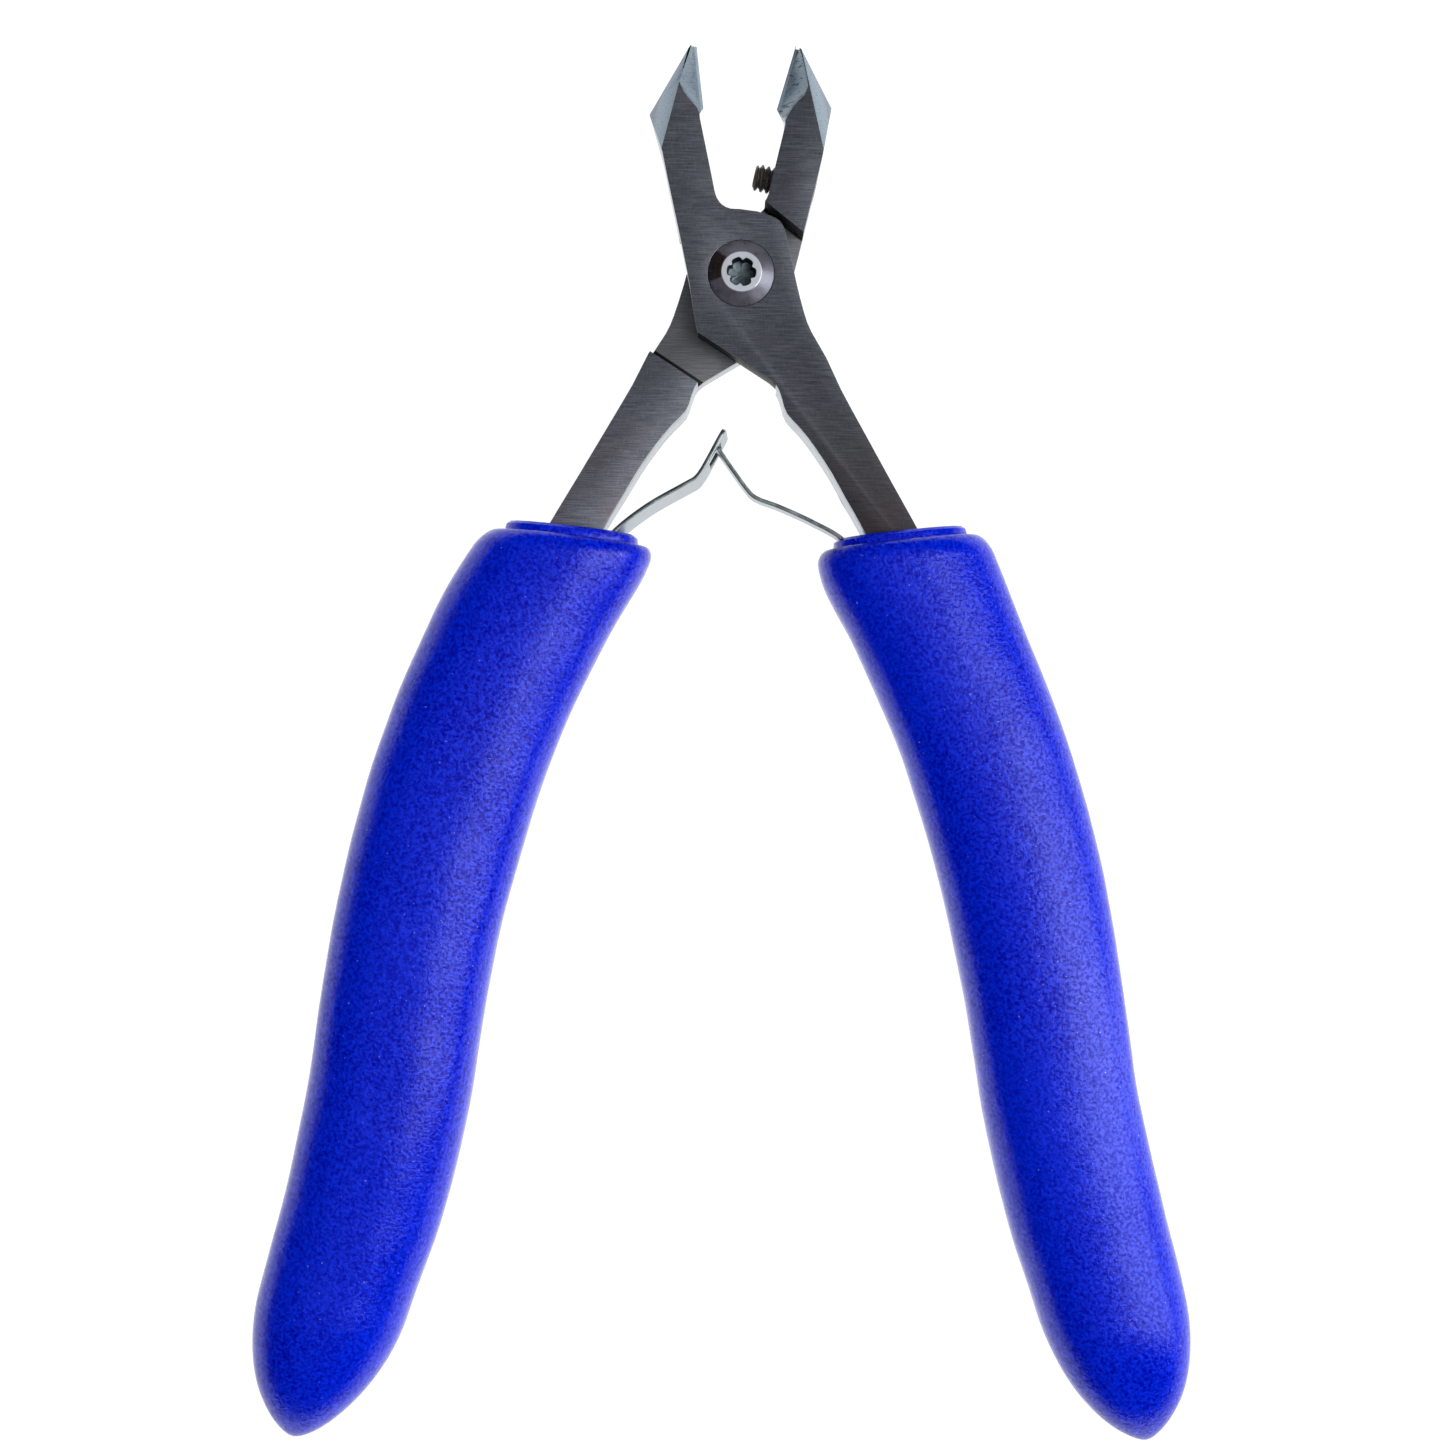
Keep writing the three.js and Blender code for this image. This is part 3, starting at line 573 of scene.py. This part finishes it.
def thread_rings():
    """Surface of a set screw along X: a helical thread that fades at both ends, and a hexagon socket."""
    x0, length, pitch, outer, depth = -1.13, 5.5, 0.635, 1.4, 0.35
    around, steps = 72, 24
    count = int(length / pitch * steps)
    verts, faces = [], []
    for k in range(count + 1):
        x = x0 + length * k / count
        for i in range(around):
            a = 2 * math.pi * i / around
            phase = ((x - x0) / pitch - i / around) % 1.0
            groove = max(0.0, min(1.0, 1.25 - abs(phase - 0.5) * 3.3))
            ends = min((x - x0) / 0.28, (x0 + length - x) / 0.2, 1.0)
            r = min(outer - depth * groove, outer - 0.3 + 0.3 * max(ends, 0.0))
            verts.append((x, r * math.cos(a), r * math.sin(a)))
        if k:
            for i in range(around):
                j = (i + 1) % around
                faces.append(((k - 1) * around + i, (k - 1) * around + j, k * around + j, k * around + i))
    tail = []
    turns = [2 * math.pi * i / around for i in range(around)]
    for r, x in ((0.85, x0 + 0.02), (0.7, x0 + 0.08)):
        tail.append([(x, r * math.cos(a), r * math.sin(a)) for a in turns])
    hexagon = []
    for x in (x0 + length, x0 + length - 1.2):
        ring = []
        for i in range(around):
            a = 2 * math.pi * i / around
            r = 0.635 / math.cos((a % (math.pi / 3)) - math.pi / 6)
            ring.append((x, r * math.cos(a), r * math.sin(a)))
        hexagon.append(ring)
    start = 0
    for ring in tail:
        base = len(verts)
        verts.extend(ring)
        for i in range(around):
            j = (i + 1) % around
            faces.append((start + j, start + i, base + i, base + j))
        start = base
    faces.append(tuple(range(start, start + around)))
    start = count * around
    for ring in hexagon:
        base = len(verts)
        verts.extend(ring)
        for i in range(around):
            j = (i + 1) % around
            faces.append((start + i, start + j, base + j, base + i))
        start = base
    faces.append(tuple(range(start, start + around)))
    return verts, faces


verts, faces = thread_rings()
place = Matrix.Rotation(math.radians(-OPEN), 4, "Z") @ Matrix.Translation((0, 10.79, MID))
stop = new_object("stop_screw_thread", [(place @ Vector(v)) * MM for v in verts], faces, [SCREW])
face_out(stop)
sharp_by_angle(stop, 32)
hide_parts("stop_screw")
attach(stop, "stop_screw")

# ------------------------------------------------------------------ leaf springs


def centripetal(points, count):
    """Evenly stepped points on a centripetal Catmull-Rom curve through the given ones."""
    p = [Vector(q) for q in points]
    p = [p[0] * 2 - p[1], *p, p[-1] * 2 - p[-2]]
    out = []
    spans = len(p) - 3
    for k in range(count + 1):
        at = k / count * spans
        i = min(int(at), spans - 1)
        u = at - i
        a, b, c, d = p[i : i + 4]
        t0 = 0.0
        t1 = t0 + max((b - a).length, 1e-9) ** 0.5
        t2 = t1 + max((c - b).length, 1e-9) ** 0.5
        t3 = t2 + max((d - c).length, 1e-9) ** 0.5
        t = t1 + u * (t2 - t1)
        a1 = a * ((t1 - t) / (t1 - t0)) + b * ((t - t0) / (t1 - t0))
        a2 = b * ((t2 - t) / (t2 - t1)) + c * ((t - t1) / (t2 - t1))
        a3 = c * ((t3 - t) / (t3 - t2)) + d * ((t - t2) / (t3 - t2))
        b1 = a1 * ((t2 - t) / (t2 - t0)) + a2 * ((t - t0) / (t2 - t0))
        b2 = a2 * ((t3 - t) / (t3 - t1)) + a3 * ((t - t1) / (t3 - t1))
        out.append(b1 * ((t2 - t) / (t2 - t1)) + b2 * ((t - t1) / (t2 - t1)))
    return out


def even(points, step):
    """The same path at an even spacing."""
    lengths = [0.0]
    for a, b in zip(points, points[1:]):
        lengths.append(lengths[-1] + (b - a).length)
    count = int(lengths[-1] / step)
    out, k = [], 0
    for i in range(count + 1):
        at = lengths[-1] * i / count
        while k < len(lengths) - 2 and lengths[k + 1] < at:
            k += 1
        u = (at - lengths[k]) / max(lengths[k + 1] - lengths[k], 1e-12)
        out.append(points[k].lerp(points[k + 1], u))
    return out


LEFT_LEAF = [(-19.1, -37.8), (-16.1, -31.6), (-12.87, -27.39), (-9.35, -24.46), (-5.25, -22.01),
             (-4.25, -21.4), (-3.7, -20.7), (-2.88, -19.21), (-2.1, -17.69), (-1.32, -16.21)]
RIGHT_LEAF = [(18.6, -37.8), (15.3, -31.6), (11.16, -27.25), (8.11, -25.54), (4.15, -23.83), (2.4, -23.24),
              (1.6, -22.8), (0.99, -22.15), (-0.56, -20.09), (-2.34, -17.59)]


LEAF_T = 0.42
LEAF_STEP = 0.22  # length of a row of the mesh
LEAF_ROUND = 0.8  # rounding of the end


def leaf(name, points, width, lean, slot, node):
    """A strip of spring steel on edge, with a rounded end and, on one, a slot for the other's tongue."""
    path = even(centripetal([(x, y, 0) for x, y in points], 400), LEAF_STEP)
    columns = 20
    total = (len(path) - 1) * LEAF_STEP
    verts, faces = [], []
    for k, p in enumerate(path):
        left = total - k * LEAF_STEP
        reach = width / 2
        cut = min(reach, LEAF_ROUND)
        if left < cut:
            reach = reach - cut + math.sqrt(max(cut * cut - (cut - left) ** 2, 0.0004))
        for c in range(columns + 1):
            z = -reach + 2 * reach * c / columns
            verts.append(((p.x - lean * 0.55 * z) * MM, (p.y + lean * 0.83 * z) * MM, (MID + z) * MM))
    for k in range(len(path) - 1):
        left = total - (k + 0.5) * LEAF_STEP
        for c in range(columns):
            z = abs(-width / 2 + width * (c + 0.5) / columns)
            if slot and slot[0] < left < slot[1] and z < slot[2]:
                continue
            a = k * (columns + 1) + c
            faces.append((a, a + 1, a + columns + 2, a + columns + 1))
    obj = new_object(name, verts, faces, [SPRING])
    thick = obj.modifiers.new("thick", "SOLIDIFY")
    thick.thickness = LEAF_T * MM
    thick.offset = 0
    thick.use_even_offset = True
    soften = obj.modifiers.new("soft_edges", "BEVEL")
    soften.width = 0.07 * MM
    soften.segments = 2
    soften.limit_method = "ANGLE"
    soften.angle_limit = math.radians(50)
    apply_modifiers(obj)
    sharp_by_angle(obj, 40)
    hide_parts(node)
    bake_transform(obj)
    return obj


leaf("left_leaf", LEFT_LEAF, 6.2, 0.07, (1.35, 3.7, 1.95), "left_spring")
leaf("right_leaf", RIGHT_LEAF, 3.3, 0.0, None, "right_spring")

# ------------------------------------------------------------------ grips

RIGHT_GRIP = [
    (2.1, -29.6, 20.0, -31.2), (2.1, -33.0, 20.9, -36.0), (4.0, -39.8, 22.0, -42.0),
    (6.9, -53.3, 24.0, -53.0), (8.1, -66, 25.05, -66), (8.3, -78, 24.9, -78),
    (7.95, -91, 24.25, -91), (8.3, -103, 24.45, -103), (9.4, -112.5, 24.95, -112.7),
    (10.9, -127.7, 25.3, -127.9),
]
LEFT_GRIP = [
    (2.2, -29.5, 20.0, -31.6), (2.9, -33.3, 21.7, -36.0), (5.0, -40.1, 23.3, -41.8),
    (7.7, -53.2, 25.4, -53.4), (8.7, -66, 26.2, -66), (8.7, -78, 25.95, -78),
    (7.75, -92, 24.75, -92), (7.9, -104, 24.4, -104), (9.0, -113.5, 24.75, -113.7),
    (10.6, -128.9, 25.0, -129.1),
]
HALF_H = 6.9
NOSE = 1 / 9
INSET = 1.9
MOUTH_LONG, MOUTH_IN = 0.055, 1.25


def cushion(name, side, stations, node, body):
    """Soft outer skin of a grip: rings from inside the mouth, over the rounded shoulder, down to the nose."""
    long, around = ((330, 168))
    fine = 900
    inner = centripetal([(s[0], s[1], 0) for s in stations], fine)
    outer = centripetal([(s[2], s[3], 0) for s in stations], fine)
    rows = [(0.06, 0.05 - INSET), (0.02, 0.05 - INSET)]
    for k in range(7):
        a = math.pi / 2 * k / 6
        rows.append((0.008 * (1 - math.sin(a)), -MOUTH_IN - (INSET - 0.05 - MOUTH_IN) * math.cos(a)))
    for k in range(1, 15):
        a = math.pi / 2 * k / 14
        rows.append((MOUTH_LONG * (1 - math.cos(a)), MOUTH_IN * (math.sin(a) - 1)))
    start = rows[-1][0]
    for k in range(1, long + 1):
        u = k / long
        rows.append((min(start + (1 - start) * (0.72 * u + 0.28 * math.sin(math.pi / 2 * u)), 1.0), 0.0))
    verts, faces = [], []
    for v, push in rows:
        i = v * fine
        k = min(int(i), fine - 1)
        a = inner[k].lerp(inner[k + 1], i - k)
        b = outer[k].lerp(outer[k + 1], i - k)
        centre, half = (a + b) / 2, (b - a) / 2
        across = half.normalized()
        along = max((v - 1) / NOSE + 1, 0)
        fit = max(1 - along**2.4, 0.0) ** 0.72
        w = max(half.length * fit + push, 0.03)
        h = max(HALF_H * fit + push, 0.03)
        for j in range(around):
            t = 2 * math.pi * j / around
            c, s = math.cos(t), math.sin(t)
            sx = math.copysign(abs(c) ** (2 / 2.35), c) * w
            sz = math.copysign(abs(s) ** (2 / 2.35), s) * h
            x, y = turn_point(side * (centre.x + across.x * sx), centre.y + across.y * sx, side * OPEN)
            verts.append((x * MM, y * MM, (MID + sz) * MM))
    for k in range(len(rows) - 1):
        for j in range(around):
            m = (j + 1) % around
            faces.append((k * around + j, k * around + m, (k + 1) * around + m, (k + 1) * around + j))
    faces.append(tuple(range((len(rows) - 1) * around, len(rows) * around)))
    obj = new_object(name, verts, faces, [SKIN])
    face_out(obj)
    # slow unevenness of moulded foam, then the raised grain of its skin
    for vert in obj.data.vertices:
        p = vert.co / MM
        slow = noise.noise(p * 0.16 + Vector((side * 3.1, 0, 0)))
        grain = noise.noise(p * 1.25) * 0.6 + noise.noise(p * 2.6) * 0.4
        vert.co += vert.normal * (slow * 0.10 + grain * 0.018 - 0.02) * MM
    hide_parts(node)
    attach(obj, body)
    return obj


cushion("left_cushion", -1, LEFT_GRIP, "left_grip_cushion", "rear_half")
cushion("right_cushion", 1, RIGHT_GRIP, "right_grip_cushion", "front_half")
for side, body in (("left", "rear_half"), ("right", "front_half")):
    sleeve = refined_copy(f"{side}_grip_core", f"{side}_sleeve", [SLEEVE], bevel=0.22, angle=35, segments=3)
    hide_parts(f"{side}_grip_core")
    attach(sleeve, body)

# ------------------------------------------------------------------ CAD nodes that show as they are

for name, material in {
    "pivot_washer": SPRING,
    "left_spring_rivet_upper": SPRING,
    "left_spring_rivet_lower": SPRING,
    "right_spring_rivet_upper": SPRING,
    "right_spring_rivet_lower": SPRING,
}.items():
    nodes[name].data.materials.clear()
    nodes[name].data.materials.append(material)

# ------------------------------------------------------------------ floor, light, camera

bpy.ops.mesh.primitive_plane_add(size=4.0, location=(0, -0.05, first_low.z - 0.0002))
floor = bpy.context.object
floor.name = "floor"
floor.data.materials.append(floor_paper())


def softbox(name, place, aim, size, power, colour=(1, 1, 1)):
    data = bpy.data.lights.new(name, "AREA")
    data.shape = "RECTANGLE"
    data.size, data.size_y = size
    data.energy = power
    data.color = colour
    obj = bpy.data.objects.new(name, data)
    bpy.context.scene.collection.objects.link(obj)
    obj.location = place
    obj.visible_camera = False
    obj.rotation_euler = (Vector(aim) - Vector(place)).to_track_quat("-Z", "Y").to_euler()
    return obj


AIM = (0, -0.06, 0)
WARM, COOL = (1, 0.99, 0.97), (0.98, 0.99, 1)
# a tall softbox at the right, its dim upper end, a low card beside the right grip, and scattered top light
softbox("key_right", (0.818, -0.08, 0.774), (-0.03, -0.08, 0.01), (0.742, 1.4), 9.2, WARM)
softbox("key_dim_end", (0.415, -0.08, 1.112), (-0.03, -0.08, 0.01), (0.334, 1.4), 0.6, WARM)
softbox("card_right", (0.082, -0.08, 0.019), (0.0, -0.08, 0.019), (0.018, 0.15), 0.012)
top = softbox("top_diffuse", (-0.05, 0.0, 0.9), AIM, (1.2, 1.2), 3.6, COOL)
top.visible_glossy = False

world = bpy.data.worlds.new("studio")
world.use_nodes = True
bpy.context.scene.world = world
world.node_tree.nodes["Background"].inputs[0].default_value = (0.95, 0.97, 1.0, 1)
world.node_tree.nodes["Background"].inputs[1].default_value = 0.015

camera_data = bpy.data.cameras.new("camera")
camera = bpy.data.objects.new("camera", camera_data)
bpy.context.scene.collection.objects.link(camera)
bpy.context.scene.camera = camera
DISTANCE = 240.0
WIDTH = 151.7
camera_data.sensor_width = 36
camera_data.lens = 36 * DISTANCE / WIDTH
camera_data.clip_start, camera_data.clip_end = 0.01, 10
camera.location = Vector((-1.083, -46.55, MID + DISTANCE)) * MM
camera.rotation_euler = (0, 0, math.radians(1.06))
bpy.context.scene.view_settings.view_transform = "Standard"
